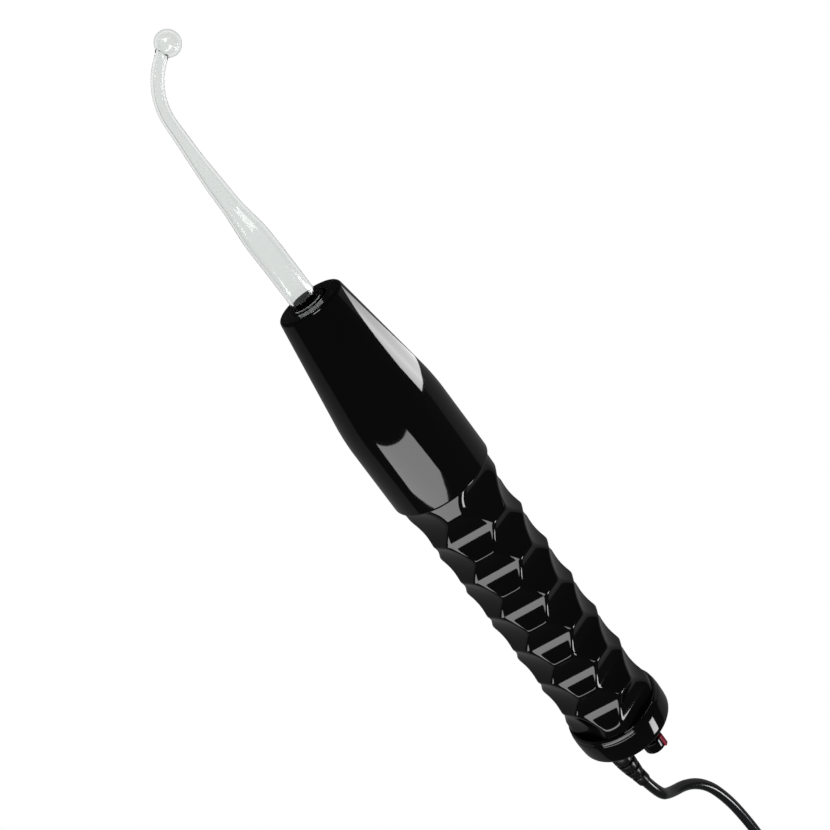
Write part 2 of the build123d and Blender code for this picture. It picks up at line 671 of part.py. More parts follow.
def link_wires():
    """Wires from the terminals to the capacitor and to the primary winding."""
    primary_x = BOBBIN_X + BOBBIN_LENGTH
    to_capacitor = wire([(214.0, -4.4, -6.2), (204.0, -4.4, -6.2), (195.0, -3.2, -6.2), (188.0, -3.2, -6.2)])
    to_primary = wire([(214.0, -8.6, -6.2), (204.0, -8.6, -6.2), (186.0, -7.6, -8.0), (164.0, -7.6, -8.0),
                       (154.0, -6.0, -6.0), (primary_x, -6.0, -6.0)])
    return Compound([to_capacitor, to_primary])


def tube(path):
    """Round lead along a path."""
    start = Plane(origin=path @ 0, z_dir=path % 0)
    return sweep(start * Circle(CORD_R), path=path)


def cord_points():
    """Free stretch of the lead: out of the relief, down to the surface, along to the coil."""
    out = cord_exit()
    knee = out + (relief_path() % 1) * 12.0
    path, _ = coil_path()
    end = path @ 0
    near = end - (path % 0) * 15.0
    return [(out.X, out.Y, out.Z), (knee.X, knee.Y, knee.Z), (310.0, -3.4, 16.0), (320.0, 7.0, 6.8),
            (332.0, 14.6, CORD_FLOOR), (347.0, 18.4, CORD_FLOOR), (363.0, 19.9, CORD_FLOOR),
            (near.X, near.Y, near.Z), (end.X, end.Y, end.Z)]


def coil_place(turned_by):
    """Point and direction of the coiled lead after an angle, clockwise from above."""
    half_way = 2 * pi * LAYER_TURNS
    rise = TURN_PITCH / (2 * pi)
    off = turned_by - half_way
    if abs(off) < pi / 2:
        radius = COIL_INNER_R + rise * (off * off / pi + pi / 4)
        slope = rise * 2 * off / pi
        height = COIL_FLOOR + TURN_PITCH * (0.5 + 0.5 * sin(off))
        climb = TURN_PITCH * 0.5 * cos(off)
    else:
        radius = COIL_INNER_R + rise * abs(off)
        slope = rise if off > 0 else -rise
        height = COIL_FLOOR + (TURN_PITCH if off > 0 else 0.0)
        climb = 0.0
    angle = pi / 2 - turned_by
    place = Vector(COIL_X + radius * cos(angle), COIL_Y + radius * sin(angle), height)
    along = Vector(slope * cos(angle) + radius * sin(angle), slope * sin(angle) - radius * cos(angle), climb)
    return place, along.normalized()


def biarc(start, start_dir, end, end_dir):
    """Two tangent arcs from one place and direction to another."""
    way = end - start
    both = start_dir + end_dir
    square = 2 * (1 - start_dir.dot(end_dir))
    run = (-way.dot(both) + sqrt(way.dot(both) ** 2 + square * way.dot(way))) / square
    before = start + start_dir * run
    after = end - end_dir * run
    middle = (before + after) * 0.5
    return [TangentArc(start, middle, tangent=start_dir),
            TangentArc(middle, end, tangent=(after - before).normalized())]


def coil_path():
    """The coiled lead's line, quarter turn by quarter turn, straight at both ends."""
    quarters = round(LAYER_TURNS * 2 * 4)
    places = [coil_place(i * pi / 2) for i in range(quarters + 1)]
    first, first_dir = places[0]
    last, last_dir = places[-1]
    edges = [Line(first - first_dir * CORD_D, first)]
    for (start, start_dir), (end, end_dir) in zip(places, places[1:]):
        edges += biarc(start, start_dir, end, end_dir)
    edges.append(Line(last, last + last_dir * CORD_D))
    return Wire(edges), places


def least_coil_gap(path):
    """Smallest gap between one turn of the coil and another."""
    steps = 1400
    spots = [path @ (i / steps) for i in range(steps + 1)]
    pace = path.length / steps
    skip = int(COIL_OUTER_R / pace)
    least = COIL_OUTER_R
    for i in range(0, len(spots), 3):
        for j in range(i + skip, len(spots), 2):
            least = min(least, (spots[i] - spots[j]).length)
    return least - CORD_D


def tail_points():
    """Last stretch of the lead: off the coil, round and up over it to the plug that lies on it."""
    path, _ = coil_path()
    start = path @ 1
    corner = LOOP_R * tan(radians(30))
    bend_x = COIL_X - 18.6
    return [(start.X, start.Y, start.Z), (bend_x - corner, start.Y - 0.4, start.Z + 0.7),
            (bend_x - 2 * corner, PLUG_Y - LOOP_R, COIL_TOP + 2.5), (bend_x - corner, PLUG_Y, PLUG_Z - 0.25),
            (PLUG_X, PLUG_Y, PLUG_Z)]


def free_tube(points, name):
    """Lead along a list of points, with its arcs' radii printed."""
    vectors = [Vector(*p) for p in points]
    radii = run_radii(vectors)
    print(name, "arc radii", [round(r, 1) for r in radii], "length", round(FilletPolyline(*points, radius=radii).length))
    return tube(FilletPolyline(*points, radius=radii))


def plug_frame():
    """Place and direction of the plug: its lead end, its pins towards +X."""
    return Pos(PLUG_X, PLUG_Y, PLUG_Z) * Rot(0, 0, 90)


def plug_body():
    """Flat moulded plug, drawn in at the hand, with a tapered sleeve on the lead."""
    half, waist, tail = PLUG_WIDTH / 2, PLUG_WIDTH * 0.38, PLUG_TAIL_WIDTH / 2
    front = -PLUG_SLEEVE - PLUG_LENGTH
    side = Spline((half, front + 7.0), (waist, front + 16.0), (tail, -PLUG_SLEEVE), tangents=((0, 1), (0, 1)))
    other = Spline((-tail, -PLUG_SLEEVE), (-waist, front + 16.0), (-half, front + 7.0),
                   tangents=((0, -1), (0, -1)))
    outline = [Line((-half, front), (half, front)), Line((half, front), side @ 0), side, Line(side @ 1, other @ 0),
               other, Line(other @ 1, (-half, front))]
    body = extrude(make_face(outline), PLUG_THICK)
    body = chamfer(body.edges().group_by(Axis.Z)[-1] + body.edges().group_by(Axis.Z)[0], 1.6)
    sleeve = Cone(CORD_R + 0.9, PLUG_TAIL_WIDTH / 2 - 0.6, PLUG_SLEEVE + 1.0,
                  align=(Align.CENTER, Align.CENTER, Align.MIN))
    return plug_frame() * (Pos(0, 0, -PLUG_THICK / 2) * body + Plane(origin=(0, 0, 0), z_dir=(0, -1, 0)) * sleeve)


def plug_pins():
    """Two round pins with domed ends."""
    face = -PLUG_SLEEVE - PLUG_LENGTH
    pins = []
    for side in (-1, 1):
        pin = Plane(origin=(side * PIN_SPACING / 2, face, 0), z_dir=(0, -1, 0)) * Cylinder(
            PLUG_PIN_R, PLUG_PIN_LENGTH, align=(Align.CENTER, Align.CENTER, Align.MIN))
        pins.append(plug_frame() * fillet(pin.edges().sort_by(Axis.Y)[0], 1.2))
    return Compound(pins)


def coil_tie():
    """Strap round all the turns of the coil, at one place."""
    inner_span = COIL_OUTER_R - COIL_INNER_R + CORD_D + 1.0
    inner_height = COIL_TOP + 0.1 - COIL_RAISE + 0.05
    outer = Box(inner_span + 2 * TIE_THICK, TIE_WIDTH, inner_height + 2 * TIE_THICK)
    outer = fillet(outer.edges().filter_by(Axis.Y), 3.0)
    inner = Box(inner_span, TIE_WIDTH, inner_height)
    inner = fillet(inner.edges().filter_by(Axis.Y), 3.0 - TIE_THICK)
    middle_r = (COIL_OUTER_R + COIL_INNER_R) / 2
    middle_z = COIL_RAISE - 0.05 + inner_height / 2
    return Pos(COIL_X, COIL_Y, middle_z) * Rot(0, 0, TIE_TURN) * Pos(middle_r, 0, 0) * (outer - inner)


def cord_coil():
    """Put-away coil of the lead: two layers of turns, a climb between them."""
    path, _ = coil_path()
    print("coil least gap", round(least_coil_gap(path), 2), "length", round(path.length))
    return tube(path)


HANDLE_PIECES = [
    nose_cone, grip, end_cap, shell_screws, socket_collar, socket_sleeve, contact_cup, glass_envelope,
    electrode_ferrule, coil_bobbin, secondary_winding, primary_winding, chassis, chassis_screws, capacitor,
    magnet_yoke, magnet_core, magnet_bobbin, magnet_winding, reed, reed_armature, reed_contact, contact_post,
    contact_screw, drive_pin, knob_shaft, shaft_bush, bush_nut, knob, knob_pointer, strain_relief, cord_entry,
    cord_clamp, terminal_block, supply_leads, link_wires,
]

middle_x = (TIP_X + RELIEF_TIP_X) / 2
for make in HANDLE_PIECES:
    export_step(Pos(-middle_x, 0, AXIS_H) * make(), f"parts/{make.__name__}.step")

export_step(Pos(-middle_x, 0, 0) * free_tube(cord_points(), "cord"), "parts/cord.step")
export_step(Pos(-middle_x, 0, 0) * cord_coil(), "parts/cord_coil.step")
export_step(Pos(-middle_x, 0, 0) * free_tube(tail_points(), "tail"), "parts/cord_tail.step")
export_step(Pos(-middle_x, 0, 0) * coil_tie(), "parts/coil_tie.step")
export_step(Pos(-middle_x, 0, 0) * plug_body(), "parts/plug_body.step")
export_step(Pos(-middle_x, 0, 0) * plug_pins(), "parts/plug_pins.step")
print("middle", round(middle_x, 3), "exit", cord_exit())
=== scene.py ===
from math import acos, atan2, cos, pi, radians, sin, sqrt

import bmesh
import bpy
from mathutils import Matrix, Vector


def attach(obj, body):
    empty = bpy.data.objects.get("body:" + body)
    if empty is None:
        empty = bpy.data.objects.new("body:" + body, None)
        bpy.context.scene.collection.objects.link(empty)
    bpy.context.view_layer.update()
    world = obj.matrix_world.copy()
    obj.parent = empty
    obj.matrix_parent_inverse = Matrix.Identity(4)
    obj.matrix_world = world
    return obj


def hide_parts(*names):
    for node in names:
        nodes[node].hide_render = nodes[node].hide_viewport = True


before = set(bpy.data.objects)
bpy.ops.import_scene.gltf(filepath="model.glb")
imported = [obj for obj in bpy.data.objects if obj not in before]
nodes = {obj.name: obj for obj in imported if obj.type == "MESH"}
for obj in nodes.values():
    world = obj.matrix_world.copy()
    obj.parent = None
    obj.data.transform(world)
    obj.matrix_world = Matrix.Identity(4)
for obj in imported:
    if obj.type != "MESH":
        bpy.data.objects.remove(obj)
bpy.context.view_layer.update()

# The handle's own measures: every handle piece is placed from the flat nose face, along the axis
# of the moulded barrel, which lies on a table on its two widest rims.
FACE_X = -0.087384
AXIS_Z = 0.0232


# Camera. It looks down at the handle from the side that the sitter would see, a little over half a
# metre away, with the glass tip at the top left and the lead at the bottom right.
EYE_DISTANCE = 0.575
eye_target = Vector((FACE_X + 0.0659, 0.0068, AXIS_Z))
eye_ahead = Vector((0.4067, 0.0, -0.9135)).normalized()
tailward = Vector((0.9135, 0.0, 0.4067)).normalized()
eye_right = tailward * 0.5948 + Vector((0.0, 0.8039, 0.0))
eye_up = tailward * -0.8039 + Vector((0.0, 0.5948, 0.0))
eye_place = eye_target - eye_ahead * EYE_DISTANCE
camera_data = bpy.data.cameras.new("studio_camera")
camera_data.lens = 61.1
camera_data.sensor_width = 36.0
camera_data.clip_start = 0.01
camera = bpy.data.objects.new("studio_camera", camera_data)
turn = Matrix((eye_right, eye_up, -eye_ahead)).transposed().to_4x4()
camera.matrix_world = Matrix.Translation(eye_place) @ turn
bpy.context.scene.collection.objects.link(camera)
bpy.context.scene.camera = camera
bpy.context.scene.view_settings.view_transform = "Standard"


# Mains lead. A round rubber-sheathed flex leaves the relief, drops to the table and runs to the
# coil in which its spare length is put away, and from there to the plug.
CORD_D = 0.0054
CORD_FLOOR = CORD_D / 2 + 0.0001
COIL_FLOOR = CORD_D / 2 + 0.0006
COIL_TOP = COIL_FLOOR + 0.00595 + CORD_D / 2
TURN_PITCH = 0.00595
LAYER_TURNS = 3.25
COIL_OUTER_R = 0.0401
COIL_INNER_R = COIL_OUTER_R - TURN_PITCH * LAYER_TURNS
COIL_X = FACE_X + 0.4008
COIL_Y = -0.0202
PLUG_X = COIL_X - 0.009
PLUG_Z = COIL_TOP + 0.00695
POINTS_PER_TURN = 14


def coil_place(turned):
    """Place of the coiled lead after an angle, clockwise from above, set by the radius of its turn there."""
    half_way = 2 * pi * LAYER_TURNS
    rise = TURN_PITCH / (2 * pi)
    off = turned - half_way
    if abs(off) < pi / 2:
        radius = COIL_INNER_R + rise * (off * off / pi + pi / 4)
        height = COIL_FLOOR + TURN_PITCH * (0.5 + 0.5 * sin(off))
    else:
        radius = COIL_INNER_R + rise * abs(off)
        height = COIL_FLOOR + (TURN_PITCH if off > 0 else 0.0)
    angle = pi / 2 - turned
    radius /= cos(pi / POINTS_PER_TURN)
    return COIL_X + radius * cos(angle), COIL_Y + radius * sin(angle), height


cord_exit = (FACE_X + 0.288454, -0.008604, AXIS_Z)
cord_route = [
    cord_exit,
    (FACE_X + 0.300314, -0.006776, AXIS_Z),
    (FACE_X + 0.3100, -0.0034, 0.0160),
    (FACE_X + 0.3200, 0.0070, 0.0068),
    (FACE_X + 0.3320, 0.0146, CORD_FLOOR),
    (FACE_X + 0.3470, 0.0184, CORD_FLOOR),
    (FACE_X + 0.3630, 0.0199, CORD_FLOOR),
    (FACE_X + 0.3804, 0.0204, COIL_FLOOR),
]
for step in range(round(LAYER_TURNS * 2 * POINTS_PER_TURN)):
    cord_route.append(coil_place(2 * pi * (step + 0.5) / POINTS_PER_TURN))
cord_route += [
    (COIL_X - 0.0302, COIL_Y - 0.0406, COIL_FLOOR + 0.0067),
    (COIL_X - 0.0417, COIL_Y - 0.0200, COIL_TOP + 0.0025),
    (COIL_X - 0.0302, COIL_Y, PLUG_Z - 0.00025),
    (PLUG_X, COIL_Y, PLUG_Z),
]
cord_curve = bpy.data.curves.new("mains_lead", "CURVE")
cord_curve.dimensions = "3D"
cord_curve.bevel_depth = CORD_D / 2
cord_curve.bevel_resolution = 6
cord_curve.resolution_u = 12
cord_spline = cord_curve.splines.new("NURBS")
cord_spline.points.add(len(cord_route) - 1)
for point, place in zip(cord_spline.points, cord_route):
    point.co = (*place, 1.0)
cord_spline.order_u = 3
cord_spline.use_endpoint_u = True
mains_lead = bpy.data.objects.new("mains_lead", cord_curve)
bpy.context.scene.collection.objects.link(mains_lead)


def finish(name, colour, roughness):
    """Plain Principled material with its colour and roughness set on the shader's own sockets."""
    material = bpy.data.materials.new(name)
    material.use_nodes = True
    shader = material.node_tree.nodes["Principled BSDF"]
    shader.inputs["Base Color"].default_value = (*colour, 1.0)
    shader.inputs["Roughness"].default_value = roughness
    return material, shader


def grain(material, shader, scale, height, detail=3.0, roughness=None, stretch=(1.0, 1.0, 1.0)):
    """Fine unevenness of a surface from its Object coordinates, as bump and, if asked, as gloss."""
    tree = material.node_tree
    place = tree.nodes.new("ShaderNodeTexCoord")
    mapping = tree.nodes.new("ShaderNodeMapping")
    mapping.inputs["Scale"].default_value = stretch
    noise = tree.nodes.new("ShaderNodeTexNoise")
    noise.inputs["Scale"].default_value = scale
    noise.inputs["Detail"].default_value = detail
    bump = tree.nodes.new("ShaderNodeBump")
    bump.inputs["Strength"].default_value = 1.0
    bump.inputs["Distance"].default_value = height
    tree.links.new(place.outputs["Object"], mapping.inputs["Vector"])
    tree.links.new(mapping.outputs["Vector"], noise.inputs["Vector"])
    tree.links.new(noise.outputs["Fac"], bump.inputs["Height"])
    tree.links.new(bump.outputs["Normal"], shader.inputs["Normal"])
    if roughness:
        spread = tree.nodes.new("ShaderNodeMapRange")
        spread.inputs["To Min"].default_value = roughness[0]
        spread.inputs["To Max"].default_value = roughness[1]
        tree.links.new(noise.outputs["Fac"], spread.inputs["Value"])
        tree.links.new(spread.outputs["Result"], shader.inputs["Roughness"])
    return noise


rubber_sheath, sheath_shader = finish("rubber_sheath", (0.012, 0.013, 0.014), 0.16)
sheath_shader.inputs["Coat Weight"].default_value = 0.6
sheath_shader.inputs["Coat Roughness"].default_value = 0.08
grain(rubber_sheath, sheath_shader, 900.0, 0.00002, roughness=(0.12, 0.22))
cord_curve.materials.append(rubber_sheath)
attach(mains_lead, "handle")
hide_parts("cord", "cord_coil", "cord_tail")


# Table and light. A pale table runs on behind as a white ground, dimmer in the mirror of the gloss than to
# the eye. What the glass sees of it is painted shade towards both sides, and what the gloss mirrors of it is
# painted shade in front of the nose face. Three soft boxes and a low slanted card are what the glossy
# moulding mirrors.
floor_mesh = bpy.data.meshes.new("table_top")
table_form = bmesh.new()
bmesh.ops.create_grid(table_form, x_segments=2, y_segments=2, size=6.0)
table_form.to_mesh(floor_mesh)
table_form.free()
table_top = bpy.data.objects.new("table_top", floor_mesh)
bpy.context.scene.collection.objects.link(table_top)
pale_table, table_shader = finish("pale_table", (0.06, 0.06, 0.06), 0.9)
table_shader.inputs["Specular IOR Level"].default_value = 0.0
table_tree = pale_table.node_tree


def table_node(kind, *values, **settings):
    """Node of the table's material, with its first inputs set or linked."""
    node = table_tree.nodes.new(kind)
    for name, value in settings.items():
        setattr(node, name, value)
    for socket, value in zip(node.inputs, values):
        if isinstance(value, bpy.types.NodeSocket):
            table_tree.links.new(value, socket)
        elif value is not None:
            socket.default_value = value
    return node


table_place = table_node("ShaderNodeTexCoord")
table_split = table_node("ShaderNodeSeparateXYZ", table_place.outputs["Object"]).outputs
table_along, table_across = table_split["X"], table_split["Y"]
# Painted shade: seen through the glass, the table goes dark towards -Y and a little darker towards +Y.
near_side_painted_shade = table_node("ShaderNodeMapRange", table_across, -0.07, -0.025, 0.1, 1.0).outputs["Result"]
far_side_painted_shade = table_node("ShaderNodeMapRange", table_across, 0.05, 0.12, 1.0, 0.5).outputs["Result"]
lit = table_node("ShaderNodeMath", near_side_painted_shade, far_side_painted_shade, operation="MULTIPLY").outputs[0]
table_path = table_node("ShaderNodeLightPath").outputs
through = table_node("ShaderNodeMath", table_path["Is Transmission Ray"], lit, operation="MULTIPLY")
seen = table_node("ShaderNodeMath", table_path["Is Camera Ray"], through.outputs[0], operation="MAXIMUM")
# Painted shade: in the mirror of the gloss, the table is black in front of the nose face and dim behind it.
painted_mirror_shade = table_node("ShaderNodeMapRange", table_along, FACE_X - 0.004, FACE_X + 0.008, 0.0, 0.13)
white_share = table_node("ShaderNodeMath", table_path["Is Glossy Ray"], painted_mirror_shade.outputs["Result"],
                         seen.outputs[0], operation="MULTIPLY_ADD", use_clamp=True)
white_light = table_node("ShaderNodeEmission", (1.0, 1.0, 1.0, 1.0))
table_mix = table_node("ShaderNodeMixShader", white_share.outputs[0], table_shader.outputs["BSDF"],
                       white_light.outputs["Emission"])
table_tree.links.new(table_mix.outputs["Shader"], table_tree.nodes["Material Output"].inputs["Surface"])
floor_mesh.materials.append(pale_table)

studio = bpy.data.worlds.new("studio")
studio.use_nodes = True
bpy.context.scene.world = studio
studio_tree = studio.node_tree
studio_ground = studio_tree.nodes["Background"]
studio_ground.inputs["Color"].default_value = (1.0, 1.0, 1.0, 1.0)
studio_path = studio_tree.nodes.new("ShaderNodeLightPath")
studio_seen = studio_tree.nodes.new("ShaderNodeMath")
studio_seen.operation = "MAXIMUM"
studio_strength = studio_tree.nodes.new("ShaderNodeMapRange")
studio_strength.inputs["To Min"].default_value = 0.03
studio_strength.inputs["To Max"].default_value = 1.0
studio_tree.links.new(studio_path.outputs["Is Camera Ray"], studio_seen.inputs[0])
studio_tree.links.new(studio_path.outputs["Is Transmission Ray"], studio_seen.inputs[1])
studio_tree.links.new(studio_seen.outputs[0], studio_strength.inputs["Value"])
studio_tree.links.new(studio_strength.outputs["Result"], studio_ground.inputs["Strength"])


def soft_box(name, place, towards, width, length, radiance, long_side=(1.0, 0.0, 0.0)):
    """Rectangular studio light, given by the brightness of its face, with its long side set."""
    lamp = bpy.data.lights.new(name, "AREA")
    lamp.shape = "RECTANGLE"
    lamp.size = length
    lamp.size_y = width
    lamp.energy = radiance * pi * length * width
    box = bpy.data.objects.new(name, lamp)
    back = (Vector(place) - Vector(towards)).normalized()
    side = (Vector(long_side) - back * back.dot(Vector(long_side))).normalized()
    faced = Matrix((side, back.cross(side), back)).transposed().to_4x4()
    box.matrix_world = Matrix.Translation(place) @ faced
    bpy.context.scene.collection.objects.link(box)
    return box


barrel = Vector((FACE_X + 0.1, 0.0, AXIS_Z))


def around(turn_deg, tail_deg, distance):
    """Place seen from the barrel: turned from overhead towards +Y, then leant towards the lead."""
    lean = radians(tail_deg)
    out = Vector((0.0, sin(radians(turn_deg)), cos(radians(turn_deg)))) * cos(lean)
    return barrel + (out + Vector((sin(lean), 0.0, 0.0))) * distance


soft_box("top_box", around(-31.0, 26.5, 1.0), barrel, 1.3, 0.3, 4.6)
floor_way = Vector((0.222, 0.936, 0.272))
card_middle = Vector((FACE_X + 0.0285, 0.0300, 0.0015)) + floor_way * 0.202
card_facing = card_middle + Vector((-0.063, -0.265, 0.962))
floor_card = soft_box("floor_card", card_middle, card_facing, 0.396, 0.047, 10.0,
                      long_side=(0.973, -0.231, 0.0))
floor_card.data.use_nodes = True
card_tree = floor_card.data.node_tree
card_place = card_tree.nodes.new("ShaderNodeNewGeometry")
card_along = card_tree.nodes.new("ShaderNodeSeparateXYZ")
card_fade = card_tree.nodes.new("ShaderNodeMapRange")
card_fade.inputs["From Min"].default_value = 1.0
card_fade.inputs["From Max"].default_value = 0.84
card_fade.inputs["To Min"].default_value = 0.2
card_fade.inputs["To Max"].default_value = 1.0
card_tree.links.new(card_place.outputs["Parametric"], card_along.inputs["Vector"])
card_tree.links.new(card_along.outputs["Y"], card_fade.inputs["Value"])
card_tree.links.new(card_fade.outputs["Result"], card_tree.nodes["Emission"].inputs["Strength"])
soft_box("front_box", (FACE_X - 0.57, 0.0, 0.58), barrel, 0.3, 0.3, 7.0)
cap_place = Vector((FACE_X + 0.250, 0.010, AXIS_Z + 0.020))
tail_way = Vector((0.64, 0.60, 0.46))
soft_box("tail_box", cap_place + tail_way * 0.6, cap_place, 0.13, 0.17, 10.0)


# Nose shell. One phenolic moulding: a tapered nose with a flat face and a rounded rim, and a wide
# skirt behind it that the grip seats in. The mould was polished, so it is mirror-glossy.
def ring_form(outline, y=0.0, z=AXIS_Z):
    """Closed wire outline of (distance from the face, radius), over a line along the handle."""
    form = bmesh.new()
    loop = [form.verts.new((FACE_X + x, y, z + radius)) for x, radius in outline]
    for here, there in zip(loop, loop[1:] + loop[:1]):
        form.edges.new((here, there))
    return form


def soften(form, corners):
    """Rounds corners of a wire outline: each is its place in the outline, a length and steps."""
    form.verts.ensure_lookup_table()
    picked = [(form.verts[place], length, steps) for place, length, steps in corners]
    for vertex, length, steps in picked:
        bmesh.ops.bevel(form, geom=[vertex], offset=length, offset_type="OFFSET", segments=steps,
                        profile=0.5, affect="VERTICES", material=-1)


def spun(form, name, y=0.0, z=AXIS_Z, segments=160, angle=40.0):
    """Spins a wire outline once round its line and makes the piece."""
    bmesh.ops.spin(form, geom=form.verts[:] + form.edges[:], cent=(0.0, y, z), axis=(1.0, 0.0, 0.0),
                   angle=2 * pi, steps=segments, use_merge=True)
    bmesh.ops.remove_doubles(form, verts=form.verts[:], dist=1e-7)
    return made(form, name, angle)


def made(form, name, angle=40.0):
    """Turns a bmesh into a smooth-shaded piece with its true edges kept sharp."""
    bmesh.ops.recalc_face_normals(form, faces=form.faces[:])
    mesh = bpy.data.meshes.new(name)
    form.to_mesh(mesh)
    form.free()
    for face in mesh.polygons:
        face.use_smooth = True
    mesh.set_sharp_from_angle(angle=radians(angle))
    piece = bpy.data.objects.new(name, mesh)
    bpy.context.scene.collection.objects.link(piece)
    return piece


def dress(piece, material, body, stands_for=()):
    """Gives a new piece its material, its CAD body and the nodes that it stands for."""
    piece.data.materials.append(material)
    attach(piece, body)
    if stands_for:
        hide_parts(*stands_for)


polished_phenolic, phenolic_shader = finish("polished_phenolic", (0.0035, 0.0035, 0.004), 0.04)
phenolic_shader.inputs["IOR"].default_value = 1.5
grain(polished_phenolic, phenolic_shader, 140.0, 0.000012, detail=2.0, roughness=(0.03, 0.07))
SHELL_R = 0.0232
SHELL_SEAT_R = 0.02155
NOSE_FACE_R = 0.0143
NOSE_BORE_R = 0.02035
FACE_WALL = 0.004
SKIRT_FRONT = 0.0565
SEAT_FRONT = 0.078
SKIRT_REAR = 0.096
SOCKET_Y = -0.0011
SOCKET_HOLE_R = 0.00805
BOSS_R = 0.01055
BOSS_BORE_R = 0.00865
BOSS_REAR = 0.024
nose_form = ring_form([(0.0, SOCKET_HOLE_R), (0.0, NOSE_FACE_R), (SKIRT_FRONT, 0.02275),
                       (SKIRT_REAR, SHELL_R), (SKIRT_REAR, SHELL_SEAT_R), (SEAT_FRONT, SHELL_SEAT_R),
                       (SEAT_FRONT, NOSE_BORE_R), (SKIRT_FRONT, NOSE_BORE_R), (FACE_WALL, 0.0125),
                       (FACE_WALL, BOSS_R), (BOSS_REAR, BOSS_R), (BOSS_REAR, BOSS_BORE_R),
                       (FACE_WALL, BOSS_BORE_R), (FACE_WALL, SOCKET_HOLE_R)])
soften(nose_form, [(1, 0.0014, 6), (2, 0.0062, 14), (3, 0.0012, 5), (4, 0.0003, 2)])
nose_shell = spun(nose_form, "nose_shell", segments=192)
dress(nose_shell, polished_phenolic, "handle", ["nose_cone"])


# Grip. A phenolic tube with eight rows of hollows milled across it, every second row moved along
# by half a hollow, so that the lands between them make a net of hexagons.
GRIP_R = 0.0215
GRIP_FRONT = 0.0781
GRIP_REAR = 0.2486
GRIP_BORE_R = 0.0155
HOLLOW_PITCH = 0.0215
HOLLOW_FLOOR_R = 0.01795
HOLLOW_R = 0.0204
FIRST_LAND = 0.106
EDGE_ROUND = 0.0012
ROWS = 8
HOLLOWS_IN_ROW = 6
NET_FRONT = 0.0945
NET_REAR = 0.2440


def softer_of(one, other, edge=EDGE_ROUND):
    """The smaller of two radii, with the edge where they meet rounded over."""
    near = max(edge - abs(one - other), 0.0) / edge
    return min(one, other) - near * near * edge / 4


def grip_radius(x, turned):
    """Radius of the grip at a distance from the face and an angle from overhead towards +Y."""
    radius = GRIP_R
    for row in range(ROWS):
        centre = radians(-14.0 + 360.0 / ROWS * row)
        away = (turned - centre + pi) % (2 * pi) - pi
        if abs(away) > radians(50.0):
            continue
        staggered = row % 2
        for place in range(HOLLOWS_IN_ROW + staggered):
            along = x - (FIRST_LAND + HOLLOW_PITCH * (place + 0.5 - 0.5 * staggered))
            if abs(along) < HOLLOW_R * 0.9:
                reach = HOLLOW_FLOOR_R + HOLLOW_R - sqrt(HOLLOW_R ** 2 - along ** 2)
                radius = softer_of(radius, reach / cos(away))
    return radius


grip_steps = 312
grip_outline = [(NET_FRONT + (NET_REAR - NET_FRONT) * step / grip_steps, GRIP_R)
                for step in range(grip_steps + 1)]
grip_outline = [(GRIP_FRONT, GRIP_BORE_R), (GRIP_FRONT, GRIP_R)] + grip_outline
grip_outline += [(GRIP_REAR, GRIP_R), (GRIP_REAR, GRIP_BORE_R)]
grip_form = ring_form(grip_outline)
bmesh.ops.spin(grip_form, geom=grip_form.verts[:] + grip_form.edges[:], cent=(0.0, 0.0, AXIS_Z),
               axis=(1.0, 0.0, 0.0), angle=2 * pi, steps=296, use_merge=True)
for vertex in grip_form.verts:
    across, up = vertex.co.y, vertex.co.z - AXIS_Z
    if across * across + up * up > (GRIP_R - 0.001) ** 2:
        radius = grip_radius(vertex.co.x - FACE_X, atan2(across, up))
        scale = radius / sqrt(across * across + up * up)
        vertex.co.y = across * scale
        vertex.co.z = AXIS_Z + up * scale
milled_grip = made(grip_form, "milled_grip", 60.0)
dress(milled_grip, polished_phenolic, "handle", ["grip"])


# End cap. A short barrel-sided moulding over the grip's rear, with a stepped lip at its front. Its
# rear wall is left whole, because the bush and the relief that stand through it hide their holes.
CAP_FRONT = 0.241
CAP_FLOOR = 0.2515
CAP_REAR = 0.255
CAP_BORE_R = 0.0185
cap_form = ring_form([(CAP_FRONT, SHELL_SEAT_R), (CAP_FRONT, 0.02225), (0.2418, 0.0227), (0.2432, 0.02275),
                      (0.2438, 0.02305), (0.247, SHELL_R), (0.251, 0.0231), (CAP_REAR, 0.0228),
                      (CAP_REAR, 0.0), (CAP_FLOOR, 0.0), (CAP_FLOOR, CAP_BORE_R), (GRIP_REAR, CAP_BORE_R),
                      (GRIP_REAR, SHELL_SEAT_R)])
soften(cap_form, [(7, 0.0017, 7), (1, 0.0003, 2), (2, 0.0003, 3), (4, 0.0003, 3)])
end_cap = spun(cap_form, "barrel_cap", segments=192)
dress(end_cap, polished_phenolic, "handle", ["end_cap"])


# Shell screws. Four steel countersunk screws, let in from below, hold the skirt and the cap on the
# grip. Their slots lie along the handle.
turned_steel, steel_shader = finish("turned_steel", (0.42, 0.42, 0.43), 0.3)
steel_shader.inputs["Metallic"].default_value = 1.0
grain(turned_steel, steel_shader, 2500.0, 0.000004, roughness=(0.22, 0.4), stretch=(1.0, 8.0, 8.0))


